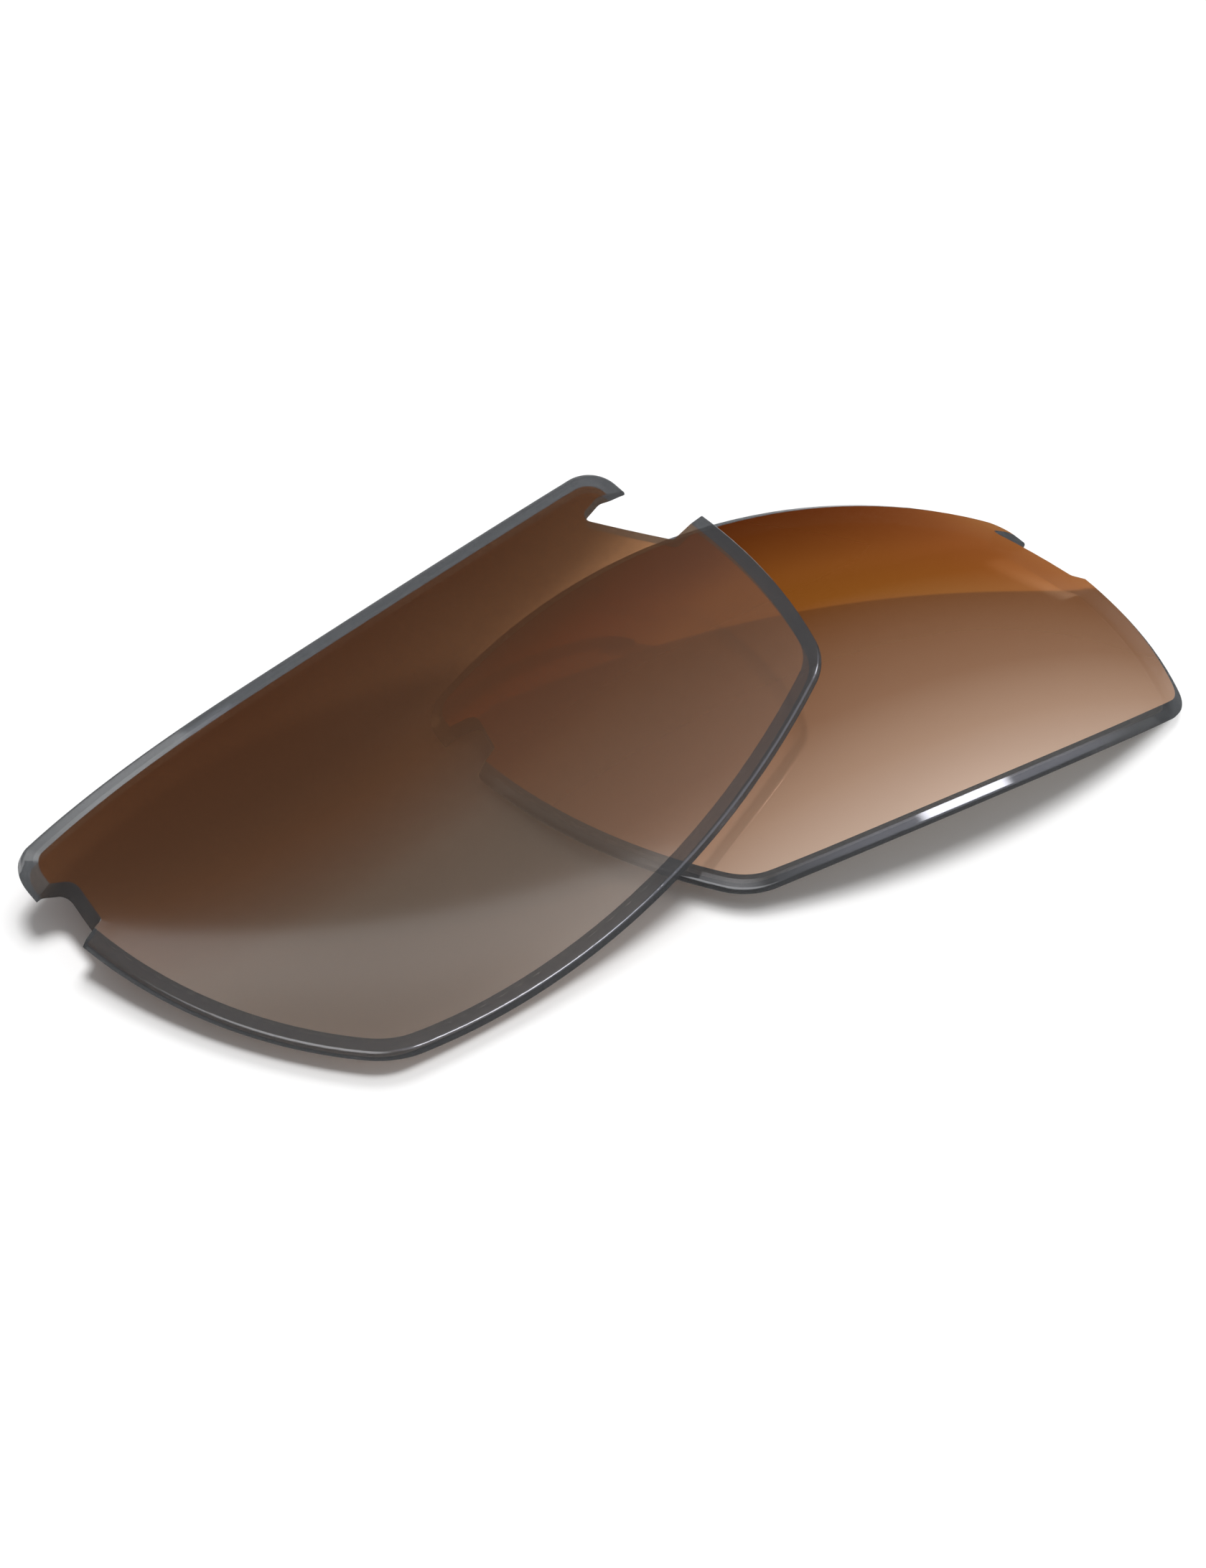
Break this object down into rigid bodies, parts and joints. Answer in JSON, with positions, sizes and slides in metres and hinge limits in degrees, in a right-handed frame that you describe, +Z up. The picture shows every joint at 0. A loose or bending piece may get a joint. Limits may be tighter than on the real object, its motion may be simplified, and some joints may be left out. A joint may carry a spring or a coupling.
{
  "type": "replacement sunglass lens pair",
  "caption": "Mirror-image wrap sunglass lenses with a brown mirror gradient, smoke bevelled rims and notched ends, lying loose, so the upper one lifts away.",
  "frame": {"origin": "on the floor below the middle of the pair's bounding box", "axes": "+Z up, +X from the right lens to the left lens along the left lens's length, +Y towards the brow edges"},
  "size_m": [0.0942, 0.0362, 0.0146],
  "materials": {
    "mirror_coat": "thin bronze mirror coat, graded from dark at the brow to light below, very glossy",
    "front_sheet": "clear polycarbonate sheet with a light smoke tint, polished",
    "polarising_film": "stretched brown polarising film, smooth",
    "moulded_body": "smoke grey transparent polycarbonate with polished bevels",
    "back_coat": "thin hard coat over a brown tint, glossy"
  },
  "bodies": {
    "left_lens": {"left_mirror_coat": "mirror_coat", "left_front_sheet": "front_sheet", "left_polarising_film": "polarising_film", "left_moulded_body": "moulded_body", "left_back_coat": "back_coat"},
    "right_lens": {"right_mirror_coat": "mirror_coat", "right_front_sheet": "front_sheet", "right_polarising_film": "polarising_film", "right_moulded_body": "moulded_body", "right_back_coat": "back_coat"}
  },
  "joints": [
    {"name": "right_lens_lift", "type": "slide", "parent": "left_lens", "child": "right_lens", "axis": [0, 0, 1], "range_m": [0, 0.03]}
  ]
}
